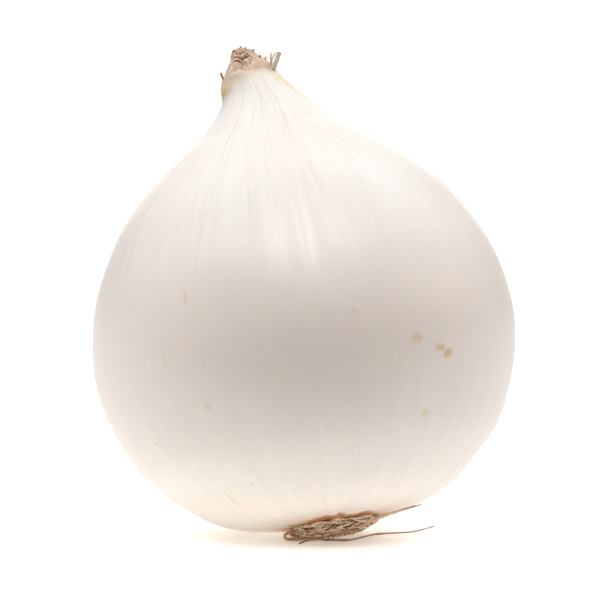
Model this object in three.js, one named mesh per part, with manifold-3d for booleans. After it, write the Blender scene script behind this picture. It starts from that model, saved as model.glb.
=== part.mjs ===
// A large white onion that has settled over onto its root plate and one shoulder.
// Millimetres, +Z up. Every piece is drawn upright about the onion's own axis, with the
// middle of the bulb at zero. A group then leans the pieces over and stands them on the floor.

import * as THREE from "three";
import { mergeVertices } from "three/addons/utils/BufferGeometryUtils.js";
import Module from "manifold-3d";

// How the onion stands
const LEAN_LEFT = 9.2; // degrees, the neck towards -X
const LEAN_BACK = 13; // degrees, the neck towards +Y
const FLAT_DEPTH = 0.25; // the shoulder is pressed in this far where it meets the floor
const GAP = 0.3; // between the white bulb and the dry pieces at its two ends

// The bulb
const BULB_OUTLINE = [
  // radius and height, from the middle of the base to the outer rim of the neck
  [0, -40.4],
  [6, -40.4],
  [9.5, -40.35],
  [14, -39.75],
  [19.6, -38.6],
  [25.2, -36.2],
  [30.7, -31.9],
  [38.2, -24],
  [43.4, -12],
  [45, -1],
  [42.9, 12],
  [37.3, 24],
  [31.1, 32.2],
  [22.3, 40.2],
  [16.6, 44.4],
  [12, 48.6],
  [8.8, 52.4],
  [7.2, 55],
  [6.4, 56.4],
];
const NECK_CUP = [
  // the shallow cup inside the rim that holds the dry tip
  [5.4, 56.3],
  [5, 55],
  [0, 54.8],
];
const OUTLINE_STEPS = 28;
const VEINS = 24; // raised veins that run from the base to the neck
const COLUMNS_PER_VEIN = 4;
const VEIN_RELIEF_BODY = 0.1;
const VEIN_RELIEF_NECK = 0.2;
const VEIN_GROWTH = [22, 54]; // heights between which the veins grow stronger
const VEIN_EVENNESS = 0.6; // the share of its relief that every vein has
const VEIN_VARIATION = [
  // slow waves that add to or take from that share, round the bulb
  { waves: 5, depth: 0.25, start: 1 },
  { waves: 2, depth: 0.15, start: 0 },
];
const UNEVENNESS = [
  // slow waves round the bulb: their number, their depth and where they start
  { waves: 2, depth: 0.22, start: 0.6 },
  { waves: 3, depth: 0.16, start: 2.1 },
];
const COLUMN_DRIFT = [
  // the same for the uneven spacing of the veins, in radians
  { waves: 3, depth: 0.05, start: 1 },
  { waves: 7, depth: 0.03, start: 0 },
];
const LOOSE_FOLD = { angle: Math.PI, height: 54, out: 1.1, halfAngle: 0.5, halfHeight: 2.2 };
const NECK_BEND_START = 48; // height from which the neck curves over to -X
const NECK_BEND = 0.024; // its curve: sideways shift per square of the height above that

// The dry tip of the neck: a lopsided dome, highest on the left
const TIP_FOOT = BULB_OUTLINE.at(-1)[1] + GAP;
const TIP_PLUG_RADIUS = 4.3;
const TIP_PLUG_BOTTOM = NECK_CUP.at(-1)[1] + GAP + 0.1;
const TIP_SIDES = 36;
const TIP_DOME = [
  // radius, height and how far the middle lies to -X
  [6.1, TIP_FOOT, 1.8],
  [6.15, 57.3, 2.05],
  [5.95, 58, 2.2],
  [5.5, 59, 2.2],
  [4.95, 60, 2.2],
  [4.15, 61, 2.4],
  [3.35, 62, 2.7],
  [2.7, 63, 3.1],
  [1.5, 63.9, 3.4],
  [0.7, 64.2, 3.4],
];
const TIP_CREASES = [
  // slow waves round the dome, as for the bulb
  { waves: 7, depth: 0.12, start: 0.5 },
  { waves: 11, depth: 0.1, start: 2.5 },
];
const PAPER_THICKNESS = 0.8;
const PAPER_LAYERS = [
  // angles in degrees from +X, -90 being the front, then the heights of the torn top edge
  { from: 120, to: 250, tops: [60, 60.6] },
  { from: -82, to: 30, tops: [60.3, 58.6] },
  { from: 20, to: 132, tops: [58.8, 60.2] },
  { from: 80, to: 262, tops: [61.8, 62.4] },
  { from: -66, to: 70, tops: [61.6, 60.8] },
];
const DEGREES_PER_TEAR = 12;
const TEAR_DEPTH = 0.7;
const V_FOLD_MIDDLE = -3.65;
const V_FOLDS = [
  // the V folds down the front of the knob: the height of each V's foot, and its half width
  { level: 62.05, halfWidth: 2 },
  { level: 60.5, halfWidth: 2.6 },
  { level: 59.6, halfWidth: 1.7 },
];
const V_FOLD_RISE = 0.45; // how far each arm of a V climbs for each millimetre sideways
const V_FOLD_THICKNESS = 0.8;
const V_FOLD_OUT = 0.1; // from the dome's surface to the middle of the fold
const V_FOLD_REACH = 0.95; // the greatest share of the dome's radius that an arm runs to
const STRANDS = [
  // a thick finger and a forked fibre on the right, a spur on the left, and small spikes
  { thickness: [1.2, 0.9], points: [[2, -3.1, 57.2], [3.5, -3.9, 59], [4.7, -3.9, 61.2]] },
  { thickness: [0.7, 0.6], points: [[1.8, -3.2, 58], [2.7, -3.9, 59.7], [3, -4, 61.4]] },
  { thickness: [0.7, 0.6], points: [[2.6, -3.7, 59.4], [3.1, -4, 60.3], [3.8, -4, 61.2]] },
  { thickness: [1, 0.6], points: [[-6.4, -1.3, 56.9], [-7.8, -1.9, 57.6], [-8.4, -2, 59.3]] },
  { thickness: [0.8, 0.6], points: [[-3.9, -0.6, 63], [-4.3, -0.9, 64], [-4.6, -0.9, 64.5]] },
  { thickness: [0.8, 0.6], points: [[-3, -0.6, 63], [-3, -0.9, 64.2], [-2.8, -0.9, 64.8]] },
  { thickness: [0.8, 0.6], points: [[-0.2, -1.8, 60.4], [0.7, -2.4, 61.6], [1.3, -2.5, 62.1]] },
];
const SHREDS = 6; // short torn shreds round the back
const SHRED_THICKNESS = [0.9, 0.6];
const SHRED_FEET = [59, 61];
const SHRED_LENGTHS = [1.2, 2.2];

// The root plate and its roots
const PLATE_TOP = -40.7;
const PLATE_OUTLINE = [
  [0, PLATE_TOP],
  [8, PLATE_TOP],
  [8.8, -41],
  [8.9, -41.6],
  [8, -42.7],
  [5.5, -43.4],
  [0, -43.1],
];
const PLATE_SIDES = 40;
const ROOT_STUBS = 90;
const STUB_THICKNESS = [0.9, 0.5];
const STUB_SPREAD_RADIUS = 8.2;
const STUB_FOOT = { middle: -42.7, rim: -41.5 };
const STUB_OUTWARD = { middle: 0.4, rim: 2.2 };
const STUB_DROP = { middle: 1.6, rim: 1 };
const GOLDEN_ANGLE = Math.PI * (3 - Math.sqrt(5));
const LONG_ROOTS = [
  // points from the plate outwards: right, back and up from the floor below the bulb
  {
    thickness: [1, 0.45],
    points: [
      [1.5, -10.5, 2.1],
      [-1.7, -12.5, 2],
      [-3.8, -13, 1.6],
      [-4.1, -12, 0.9],
      [-3, -11.4, 0.6],
      [5.1, -10.9, 0.45],
      [9.7, -11.2, 0.45],
      [15.3, -8.7, 1.2],
      [22.8, -8.5, 1.5],
      [27.6, -7.5, 2.5],
    ],
  },
  {
    thickness: [1, 0.5],
    points: [
      [10, -11, 3.6],
      [11.2, -14.8, 2.7],
      [9, -16, 2.5],
      [6.5, -17, 1.8],
      [2.1, -17.8, 1.2],
      [-1.1, -18.6, 0.4],
    ],
  },
  {
    thickness: [1.1, 0.5],
    points: [
      [9.5, -9.5, 3.2],
      [12.4, -12, 3.9],
      [13.8, -12.5, 4.8],
      [18.8, -13.5, 6.5],
      [21.3, -14.2, 7.4],
      [24.7, -14.5, 8.3],
    ],
  },
];

const WHITE_SKIN = { color: 0xf0ebe4, roughness: 0.35, metalness: 0 };
const DRY_PAPER = { color: 0xa98766, roughness: 0.85, metalness: 0 };
const DRY_ROOT = { color: 0xb39a7c, roughness: 0.9, metalness: 0 };

const wasm = await Module();
wasm.setup();

const { clamp, degToRad, lerp, smoothstep } = THREE.MathUtils;

// A repeatable stream of numbers from 0 to 1.
function randomStream(seed) {
  return () => {
    seed = (seed + 0x6d2b79f5) | 0;
    let mixed = Math.imul(seed ^ (seed >>> 15), 1 | seed);
    mixed = (mixed + Math.imul(mixed ^ (mixed >>> 7), 61 | mixed)) ^ mixed;
    return ((mixed ^ (mixed >>> 14)) >>> 0) / 4294967296;
  };
}

function solidFrom(geometry) {
  geometry.deleteAttribute("normal");
  geometry.deleteAttribute("uv");
  const merged = mergeVertices(geometry, 1e-3);
  const mesh = new wasm.Mesh({
    numProp: 3,
    vertProperties: merged.attributes.position.array,
    triVerts: new Uint32Array(merged.index.array),
  });
  return new wasm.Manifold(mesh);
}

function geometryFrom(solid) {
  const mesh = solid.getMesh();
  const geometry = new THREE.BufferGeometry();
  geometry.setAttribute("position", new THREE.BufferAttribute(mesh.vertProperties, 3));
  geometry.setIndex(new THREE.BufferAttribute(mesh.triVerts, 1));
  geometry.computeVertexNormals();
  return geometry;
}

// The pieces joined into one solid. A hollow that the joining seals is filled, and a loose
// scrap is dropped, because only the largest closed surface is kept.
function fused(geometries) {
  const joined = geometries.map(solidFrom).reduce((whole, piece) => whole.add(piece));
  return largestBody(joined);
}

function largestBody(solid) {
  return solid.decompose().reduce((a, b) => (a.volume() > b.volume() ? a : b));
}

// A closed solid through rings of points, each an even number of points that run
// anticlockwise about the way the rings go. Rungs across the ring close each end.
function loft(rings) {
  const sides = rings[0].length;
  const last = (rings.length - 1) * sides;
  const faces = [];
  for (let start = 0; start < last; start += sides) {
    for (let i = 0; i < sides; i++) {
      const a = start + i;
      const b = start + ((i + 1) % sides);
      faces.push(a, b, b + sides, a, b + sides, a + sides);
    }
  }
  for (let i = 0; i < sides / 2 - 1; i++) {
    const [a, b, c, d] = [i, i + 1, sides - 2 - i, sides - 1 - i];
    faces.push(a, c, b, a, d, c);
    faces.push(last + a, last + b, last + c, last + a, last + c, last + d);
  }
  const geometry = new THREE.BufferGeometry().setFromPoints(rings.flat());
  return geometry.setIndex(faces);
}

// A tapering strand along a curve through the points, from its root to its tip.
function strand(points, [rootThickness, tipThickness], steps = 8, sides = 4) {
  const curve = new THREE.CatmullRomCurve3(points);
  const { normals, binormals } = curve.computeFrenetFrames(steps);
  const rings = normals.map((normal, step) => {
    const along = step / steps;
    const radius = lerp(rootThickness, tipThickness, along) / 2;
    const middle = curve.getPoint(along);
    return Array.from({ length: sides }, (_, i) => {
      const angle = (i / sides) * 2 * Math.PI;
      return middle
        .clone()
        .addScaledVector(normal, radius * Math.cos(angle))
        .addScaledVector(binormals[step], radius * Math.sin(angle));
    });
  });
  return loft(rings);
}

// A point at an angle and radius about the axis, carried sideways where the neck curves over.
function around(angle, radius, height) {
  const above = Math.max(0, height - NECK_BEND_START);
  const sideways = -NECK_BEND * above * above;
  return new THREE.Vector3(
    radius * Math.cos(angle) + sideways,
    radius * Math.sin(angle),
    height,
  );
}

// The sum of slow waves round the axis.
function waveSum(waves, angle) {
  return waves.reduce((sum, w) => sum + w.depth * Math.cos(w.waves * angle + w.start), 0);
}

// How far the white skin stands out of its plain outline: slow unevenness, raised veins
// that grow stronger up the neck, and a loose fold on the neck's left side. All of it dies
// out towards the axis, inside the rim of the neck and in the middle of the base.
function skinRelief(angle, radius, height) {
  const fromAxis = smoothstep(radius, 5.2, 6.9);
  const uneven = waveSum(UNEVENNESS, angle) * smoothstep(radius, 7, 30);
  const growth = smoothstep(height, ...VEIN_GROWTH);
  const share = VEIN_EVENNESS + waveSum(VEIN_VARIATION, angle);
  const relief = share * lerp(VEIN_RELIEF_BODY, VEIN_RELIEF_NECK, growth);
  const vein = relief * Math.cos(VEINS * angle);
  const across = (angle - LOOSE_FOLD.angle) / LOOSE_FOLD.halfAngle;
  const up = (height - LOOSE_FOLD.height) / LOOSE_FOLD.halfHeight;
  const fold = LOOSE_FOLD.out * Math.exp(-across * across - up * up);
  return fromAxis * (uneven + vein + fold);
}

// The white bulb with its neck: the outline turned about the axis, then given its relief.
// The columns are spaced a little unevenly, so the veins are too.
function bulbGeometry() {
  const outline = new THREE.SplineCurve(BULB_OUTLINE.map((p) => new THREE.Vector2(...p)));
  const cup = NECK_CUP.map((p) => new THREE.Vector2(...p));
  const profile = [...outline.getPoints(OUTLINE_STEPS), ...cup];
  const geometry = new THREE.LatheGeometry(profile, VEINS * COLUMNS_PER_VEIN);
  geometry.rotateX(Math.PI / 2);
  const position = geometry.attributes.position;
  for (let i = 0; i < position.count; i++) {
    const [x, y, z] = [position.getX(i), position.getY(i), position.getZ(i)];
    const radius = Math.hypot(x, y);
    const angle = (Math.atan2(y, x) + 2 * Math.PI) % (2 * Math.PI);
    const moved = angle + waveSum(COLUMN_DRIFT, angle);
    position.setXYZ(i, ...around(moved, radius + skinRelief(angle, radius, z), z));
  }
  return geometry;
}

// A point on the tip's dome at an angle and height, or a little way out from it.
function onTip(angle, height, out = 0) {
  const above = TIP_DOME.findIndex((ring) => ring[1] >= height);
  const i = above < 0 ? TIP_DOME.length - 1 : Math.max(above, 1);
  const [low, high] = [TIP_DOME[i - 1], TIP_DOME[i]];
  const share = (height - low[1]) / (high[1] - low[1]);
  const radius = lerp(low[0], high[0], share) + out;
  const left = lerp(low[2], high[2], share);
  return new THREE.Vector3(radius * Math.cos(angle) - left, radius * Math.sin(angle), height);
}

// The dome of the dry tip, creased all round, with a plug below that sits in the neck's cup.
function tipDome() {
  const ring = (pointAt) =>
    Array.from({ length: TIP_SIDES }, (_, i) => pointAt((i / TIP_SIDES) * 2 * Math.PI));
  const foot = TIP_DOME[0];
  const plug = [TIP_PLUG_BOTTOM, TIP_FOOT].map((height) =>
    ring((angle) => onTip(angle, foot[1], TIP_PLUG_RADIUS - foot[0]).setZ(height)),
  );
  const dome = TIP_DOME.map(([radius, height]) =>
    ring((angle) => {
      const crease = waveSum(TIP_CREASES, angle) * smoothstep(radius, 0.7, 4);
      return onTip(angle, height, height > TIP_FOOT ? crease : 0);
    }),
  );
  return loft([...plug, ...dome]);
}

// One papery layer: a blade wrapped round the dome, half sunk in it, with a torn top edge.
function paperLayer({ from, to, tops }, random) {
  const columns = Math.round((to - from) / DEGREES_PER_TEAR);
  const rows = 3;
  const rings = [];
  for (let column = 0; column <= columns; column++) {
    const share = column / columns;
    const angle = degToRad(lerp(from, to, share));
    const top = lerp(...tops, share) + TEAR_DEPTH * (random() - 0.5);
    const wall = (side) =>
      Array.from({ length: rows + 1 }, (_, row) =>
        onTip(angle, lerp(TIP_FOOT + 0.3, top, row / rows), (side * PAPER_THICKNESS) / 2),
      );
    rings.push([...wall(-1), ...wall(1).reverse()]);
  }
  return loft(rings);
}

// The V folds, nested below one another on the front of the knob and half sunk in it.
function tipFolds() {
  return V_FOLDS.map(({ level, halfWidth }) => {
    const points = [-1, -0.5, 0, 0.5, 1].map((share) => {
      const x = V_FOLD_MIDDLE + share * halfWidth;
      const height = level + V_FOLD_RISE * Math.abs(share) * halfWidth;
      const middle = onTip(Math.PI / 2, height).x;
      const radius = onTip(0, height).x - middle;
      const sideways = clamp((x - middle) / radius, -V_FOLD_REACH, V_FOLD_REACH);
      return onTip(-Math.acos(sideways), height, V_FOLD_OUT);
    });
    return strand(points, [V_FOLD_THICKNESS, V_FOLD_THICKNESS], 8);
  });
}

// The strands and spikes that stand off the tip, and torn shreds round its back.
function tipStrands(random) {
  const strands = STRANDS.map(({ points, thickness }) =>
    strand(points.map((p) => new THREE.Vector3(...p)), thickness),
  );
  const shreds = Array.from({ length: SHREDS }, (_, i) => {
    const angle = Math.PI * ((i + 0.6 * random()) / SHREDS);
    const foot = lerp(...SHRED_FEET, random());
    const length = lerp(...SHRED_LENGTHS, random());
    const points = [
      onTip(angle, foot, -0.5),
      onTip(angle, foot, 0.2).setZ(foot + 0.5 * length),
      onTip(angle + 0.1, foot, 0.3 * random()).setZ(foot + length),
    ];
    return strand(points, SHRED_THICKNESS, 4);
  });
  return [...strands, ...shreds];
}

// Short dry root ends, close together over the underside of the plate and out to its rim,
// where they splay outwards. Each starts inside the plate.
function rootStubs(random) {
  return Array.from({ length: ROOT_STUBS }, (_, i) => {
    const angle = i * GOLDEN_ANGLE + 0.3 * random();
    const spread = Math.sqrt((i + 0.5) / ROOT_STUBS);
    const radius = STUB_SPREAD_RADIUS * spread;
    const foot = lerp(STUB_FOOT.middle, STUB_FOOT.rim, spread ** 4);
    const reach = lerp(STUB_OUTWARD.middle, STUB_OUTWARD.rim, spread ** 2);
    const outward = reach * lerp(0.6, 1.2, random());
    const drop = lerp(STUB_DROP.middle, STUB_DROP.rim, spread) * lerp(0.6, 1.3, random());
    const turned = angle + 0.5 * (random() - 0.5);
    const points = [
      around(angle, radius - 0.6, foot),
      around(angle, radius + 0.5 * outward, foot - 0.6 * drop),
      around(turned, radius + outward, foot - drop - 0.4 * random()),
    ];
    return strand(points, STUB_THICKNESS, 3);
  });
}

function longRoot({ points, thickness }) {
  const path = points.map((p) => new THREE.Vector3(...p).applyMatrix4(toOwnAxis));
  return strand(path, thickness, 30);
}

function plateDisc() {
  const profile = PLATE_OUTLINE.map((p) => new THREE.Vector2(...p)).reverse();
  return new THREE.LatheGeometry(profile, PLATE_SIDES).rotateX(Math.PI / 2);
}

// The matrix that leans the pieces over and stands them so that the bulb's lowest shoulder
// is FLAT_DEPTH below the floor.
function standingMatrix(bulb) {
  const lean = new THREE.Euler(degToRad(-LEAN_BACK), degToRad(-LEAN_LEFT), 0);
  const matrix = new THREE.Matrix4().makeRotationFromEuler(lean);
  const leaned = bulb.clone().applyMatrix4(matrix);
  leaned.computeBoundingBox();
  const lift = -leaned.boundingBox.min.z - FLAT_DEPTH;
  return new THREE.Matrix4().makeTranslation(0, 0, lift).multiply(matrix);
}

const bulb = bulbGeometry();
const standing = standingMatrix(bulb);
const toOwnAxis = standing.clone().invert();

const floorBlock = new THREE.BoxGeometry(120, 120, 20);
floorBlock.translate(0, 0, -10).applyMatrix4(toOwnAxis);
const belowFloor = solidFrom(floorBlock);

const tipRandom = randomStream(7);
const neckTip = fused([
  tipDome(),
  ...PAPER_LAYERS.map((layer) => paperLayer(layer, tipRandom)),
  ...tipFolds(),
  ...tipStrands(tipRandom),
]);

const rootPlate = fused([
  plateDisc(),
  ...rootStubs(randomStream(11)),
  ...LONG_ROOTS.map(longRoot),
]);

// Each piece as a named mesh in the leaning group, which is centred over the origin.
const pieces = [
  ["bulb", solidFrom(bulb).subtract(belowFloor), WHITE_SKIN],
  ["neck_tip", neckTip, DRY_PAPER],
  ["root_plate", largestBody(rootPlate.subtract(belowFloor)), DRY_ROOT],
];
const leaning = new THREE.Group();
for (const [name, solid, finish] of pieces) {
  const material = new THREE.MeshStandardMaterial(finish);
  const mesh = new THREE.Mesh(geometryFrom(solid), material);
  mesh.name = name;
  leaning.add(mesh);
}
standing.decompose(leaning.position, leaning.quaternion, leaning.scale);

const onion = new THREE.Group();
onion.add(leaning);
onion.updateMatrixWorld(true);
const middle = new THREE.Box3().setFromObject(onion, true).getCenter(new THREE.Vector3());
leaning.position.x -= middle.x;
leaning.position.y -= middle.y;

export default onion;
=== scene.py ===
# %% [markdown]
# # A white onion, leaning on its roots
#
# The onion is an almost round bulb in a glossy white skin, with a pinched dry neck at the
# top and a matted root plate below. It has settled over, so its neck leans to the left and
# back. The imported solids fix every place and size. This lesson dresses them with three
# kinds of surface: a skin turned from one outline, a dry tip raised by a formula, and
# hundreds of fibres made together as arrays.

# %% Load the fixed frame
import math

import bpy
import numpy as np
from mathutils import Matrix, Vector


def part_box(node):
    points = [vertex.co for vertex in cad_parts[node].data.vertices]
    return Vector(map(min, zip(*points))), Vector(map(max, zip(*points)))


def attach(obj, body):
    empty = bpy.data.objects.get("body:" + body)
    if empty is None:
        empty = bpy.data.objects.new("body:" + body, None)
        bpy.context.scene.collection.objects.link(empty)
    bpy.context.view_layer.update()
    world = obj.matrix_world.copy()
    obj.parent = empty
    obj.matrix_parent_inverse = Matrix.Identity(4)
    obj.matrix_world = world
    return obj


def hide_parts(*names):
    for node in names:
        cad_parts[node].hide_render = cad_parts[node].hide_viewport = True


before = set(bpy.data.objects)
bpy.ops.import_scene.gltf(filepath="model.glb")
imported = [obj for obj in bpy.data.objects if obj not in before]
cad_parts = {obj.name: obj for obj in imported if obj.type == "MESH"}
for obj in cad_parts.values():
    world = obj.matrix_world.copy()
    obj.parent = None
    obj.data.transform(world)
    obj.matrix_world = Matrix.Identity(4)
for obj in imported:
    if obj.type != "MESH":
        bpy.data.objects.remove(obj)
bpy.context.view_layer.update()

MM = 0.001

# %% [markdown]
# ## The onion's own axis
#
# A bulb grows round an axis, so every shape below is worked out upright in millimetres,
# with the middle of the bulb at zero, and is leaned over at the end. Leaning the points
# themselves keeps each object at the origin, unturned, where patterns can't slide.

# %% Lean points over
LEAN_LEFT = math.radians(9.2)
LEAN_BACK = math.radians(13)
LEAN = np.array(Matrix.Rotation(-LEAN_BACK, 3, "X") @ Matrix.Rotation(-LEAN_LEFT, 3, "Y"))
NECK_BEND_START, NECK_BEND_LENGTH = 48, 9.6
NECK_BEND = 0.024


def around(angle, radius, height):
    """Points at an angle and radius about the axis: x = radius cos(angle) less the bend,
    y = radius sin(angle), z = height. The bend is NECK_BEND times the square of the
    height above NECK_BEND_START, as far as the tip, and carries the neck to the left."""
    angle, radius, height = np.broadcast_arrays(angle, radius, height)
    bend = NECK_BEND * np.clip(height - NECK_BEND_START, 0, NECK_BEND_LENGTH) ** 2
    return np.stack([radius * np.cos(angle) - bend, radius * np.sin(angle), height], axis=-1)


# %% [markdown]
# ## The outline of the bulb
#
# One smooth line from the middle of the base to the neck gives the whole body when it is
# turned about the axis. A lathe would do that too, but here the turned points also get the
# onion's unevenness and veins, so the line is sampled as an array, in even steps.

# %% A smooth line through the outline's points
BULB_OUTLINE = np.array([
    # radius and height, the same as in the solids
    (0, -40.4), (6, -40.4), (9.5, -40.35), (14, -39.75), (19.6, -38.6), (25.2, -36.2),
    (30.7, -31.9), (38.2, -24), (43.4, -12), (45, -1), (42.9, 12), (37.3, 24),
    (31.1, 32.2), (22.3, 40.2), (16.6, 44.4), (12, 48.6), (8.8, 52.4), (7.25, 55),
    (6.6, 56.4),
])
HEM_OUTLINE = np.array([
    # where the skin goes on over the foot of the dry tip, and tucks in
    (6.6, 56.4), (6.31, 57.1), (6.06, 57.7), (5.88, 58), (5.6, 58.2), (4.7, 58.3),
])
BULB_RADIUS = BULB_OUTLINE[:, 0].max()


def spline(points, per_span=60):
    """A smooth curve through the points. Between b and c, whose neighbours are a and d, it is
    half of 2b + (c - a) t + (2a - 5b + 4c - d) t^2 + (3b - a - 3c + d) t^3."""
    points = np.asarray(points, float)
    where = np.linspace(0, len(points) - 1, per_span * (len(points) - 1) + 1)
    span = np.minimum(where.astype(int), len(points) - 2)
    t = (where - span)[:, None]
    a, b, c, d = (points[np.clip(span + k, 0, len(points) - 1)] for k in (-1, 0, 1, 2))
    square, cube = 2 * a - 5 * b + 4 * c - d, 3 * b - a - 3 * c + d
    return 0.5 * (2 * b + (c - a) * t + square * t**2 + cube * t**3)


def even_steps(line, count):
    """The line again at points an even length apart, and the length up to each point."""
    steps = np.linalg.norm(np.diff(line, axis=0), axis=1)
    length = np.concatenate([[0], np.cumsum(steps)])
    where = np.linspace(0, length[-1], count)
    columns = [np.interp(where, length, line[:, i]) for i in range(line.shape[1])]
    return np.stack(columns, axis=1), where


body, body_length = even_steps(spline(BULB_OUTLINE), 250)
hem, hem_length = even_steps(spline(HEM_OUTLINE), 16)
outline = np.concatenate([body, hem[1:]])
outline_length = np.concatenate([body_length, body_length[-1] + hem_length[1:]])
print("the outline is", round(outline_length[-1], 1), "mm long")


def smooth_step(value, low, high):
    """0 below low, 1 above high, and 3t^2 - 2t^3 between them."""
    t = np.clip((value - low) / (high - low), 0, 1)
    return t * t * (3 - 2 * t)


# %% [markdown]
# ## The skin's relief
#
# The bulb isn't a perfect turned form. It swells a little unevenly, the veins of its outer
# scale stand up, more so near the neck, and a loose fold puffs out on the neck's left side.
# Each of these is a small distance outwards, and the distances are simply added up.

# %% Add the unevenness, veins and loose fold
COLUMNS = 360
VEINS = 24
FINE_VEINS = 64
FINE_VEIN_SEED = 3
VEINS_START, VEINS_FULL = 22, 54  # the heights between which the veins grow towards the neck
PUFF_OUT, PUFF_HEIGHT = 0.75, 55.6  # the loose fold on the neck
SEAM_ANGLE = math.pi / 2  # the grid's first column is at the back


def wave_sum(waves, angle):
    """The sum of depth times cos(waves times the angle + start)."""
    return sum(depth * np.cos(count * angle + start) for count, depth, start in waves)


def skin_relief(angle, radius, height):
    """The distance that the skin stands out of its outline: slow waves, plus veins that are
    cosines of the angle, plus narrow bell curves at uneven angles, plus one wide bell
    curve on the left of the neck."""
    growth = smooth_step(height, VEINS_START, VEINS_FULL)
    uneven = wave_sum([(2, 0.22, 0.6), (3, 0.16, 2.1)], angle) * smooth_step(radius, 7, 30)
    strength = 0.55 + 0.45 * np.cos(5 * angle + 1) * np.cos(2 * angle)
    vein = (0.01 + 0.012 * growth) * strength * np.cos(VEINS * angle)
    seeded = np.random.default_rng(FINE_VEIN_SEED)
    centre = np.sort(seeded.uniform(0, 2 * math.pi, FINE_VEINS))
    depth = seeded.uniform(-1, 1, FINE_VEINS)
    apart = np.angle(np.exp(1j * (angle[0][:, None] - centre)))
    fine = (depth * np.exp(-((apart / 0.022) ** 2))).sum(axis=1)
    puff = PUFF_OUT * np.exp(-(np.angle(np.exp(1j * (angle - math.pi))) / 0.5) ** 2)
    puff = puff * np.exp(-(((height - PUFF_HEIGHT) / 2) ** 2))
    out = uneven + vein + (0.01 + 0.02 * growth) * fine + puff
    return out * smooth_step(radius, 5.2, 6.9)


def torn_edge(angle, row):
    """How far up the hem's torn edge is moved: uneven waves round it, growing along it."""
    along = smooth_step(row, len(body) - 1, len(outline) - 3)
    waves = [(3, 0.2, 0.4), (7, 0.16, 2), (13, 0.14, 1), (22, 0.1, 5)]
    return wave_sum(waves, angle) * along


turn = np.arange(COLUMNS) / COLUMNS
angle = (SEAM_ANGLE + 2 * math.pi * turn)[None, :] + 0 * outline[:, :1]
drift = wave_sum([(3, 0.05, 1), (7, 0.03, 0)], angle)
radius = outline[:, :1] + skin_relief(angle, outline[:, :1], outline[:, 1:])
torn = torn_edge(angle, np.arange(len(outline))[:, None])
skin_grid = around(angle + drift, radius - 0.35 * torn, outline[:, 1:] + torn)

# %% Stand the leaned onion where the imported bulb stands
bulb_low, bulb_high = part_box("bulb")
leaned = skin_grid[: len(body)] @ LEAN.T * MM
middle = (leaned.min(axis=(0, 1)) + leaned.max(axis=(0, 1))) / 2
CENTRE = np.array((bulb_low + bulb_high) / 2) - middle
CENTRE[2] = bulb_high.z - leaned[..., 2].max()
print("the middle of the bulb is at", (CENTRE / MM).round(2), "mm")


def stand(points):
    """Leans points over, moves them to the bulb's place, and presses flat what would be
    below the floor: turned point times MM plus CENTRE, with z no less than zero."""
    standing = points @ LEAN.T * MM + CENTRE
    standing[..., 2] = np.maximum(standing[..., 2], 0)
    return standing


def upright(points):
    """The same backwards: from millimetres on the floor to the onion's own axis."""
    return (np.asarray(points, float) - CENTRE / MM) @ LEAN


# %% [markdown]
# ## From arrays to meshes
#
# One pattern of faces is enough for the whole onion: a grid that wraps round and closes to
# a point at both ends. It is an index array worked out at once, and can be repeated for
# any number of strands in one mesh.

# %% Faces of closed tubes
def tube_faces(rows, columns, copies=1):
    """Quads round a tube of rings, and triangles to a point at each end. A copy's vertices
    are its rings in order, then the start point, then the end point."""
    r, c = np.mgrid[0 : rows - 1, 0:columns]
    right = (c + 1) % columns
    quads = np.stack([r * columns + c, r * columns + right,
                      (r + 1) * columns + right, (r + 1) * columns + c], -1).reshape(-1, 4)
    first = np.arange(columns)
    second = (first + 1) % columns
    last = (rows - 1) * columns
    start, end = np.full(columns, rows * columns), np.full(columns, rows * columns + 1)
    ends = np.concatenate([np.stack([start, second, first], -1),
                           np.stack([end, last + first, last + second], -1)])
    offset = (np.arange(copies) * (rows * columns + 2))[:, None, None]
    return (quads + offset).reshape(-1, 4), (ends + offset).reshape(-1, 3)


# %% Make one piece of the onion
def make_piece(name, points, faces, material, node, slot, **attributes):
    """A mesh object from standing points in metres. Each attribute is a number, or three,
    for each vertex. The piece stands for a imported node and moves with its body."""
    quads, triangles = faces
    mesh = bpy.data.meshes.new(name)
    mesh.from_pydata(points.reshape(-1, 3).tolist(), [], quads.tolist() + triangles.tolist())
    for label, values in attributes.items():
        vector = values.ndim > 1 and values.shape[-1] == 3
        kind, field = ("FLOAT_VECTOR", "vector") if vector else ("FLOAT", "value")
        layer = mesh.attributes.new(label, kind, "POINT")
        layer.data.foreach_set(field, values.astype(np.float32).ravel())
    mesh.shade_smooth()
    mesh.materials.append(material)
    piece = bpy.data.objects.new(name, mesh)
    bpy.context.scene.collection.objects.link(piece)
    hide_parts(node)
    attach(piece, "root")
    print(name, "has", len(quads) * 2 + len(triangles), "triangles")
    return piece


# %% [markdown]
# ## Nodes for the finishes
#
# The finishes are networks of shader nodes. A few short helpers place a node, join it up
# and hand back its output, so that each material below reads like a sentence.

# %% Helpers for shader nodes
def put(tree, kind, sockets=None, **settings):
    """Adds a node, applies its settings and fills its sockets with values or with outputs."""
    node = tree.nodes.new(kind)
    for name, value in settings.items():
        setattr(node, name, value)
    for name, value in (sockets or {}).items():
        if isinstance(value, bpy.types.NodeSocket):
            tree.links.new(value, node.inputs[name])
        else:
            node.inputs[name].default_value = value
    return node


def calculate(tree, operation, *values):
    """The output of a Math node on up to three values."""
    return put(tree, "ShaderNodeMath", dict(enumerate(values)), operation=operation).outputs[0]


def vector_math(tree, operation, *values):
    """The output of a Vector Math node: a number for a dot product or length, else a vector."""
    node = put(tree, "ShaderNodeVectorMath", dict(enumerate(values)), operation=operation)
    return node.outputs["Value" if operation in ("DOT_PRODUCT", "LENGTH") else "Vector"]


def height_of(tree, vector):
    """The third part of a vector, which is the place along the growth."""
    return put(tree, "ShaderNodeSeparateXYZ", {0: vector}).outputs["Z"]


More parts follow.
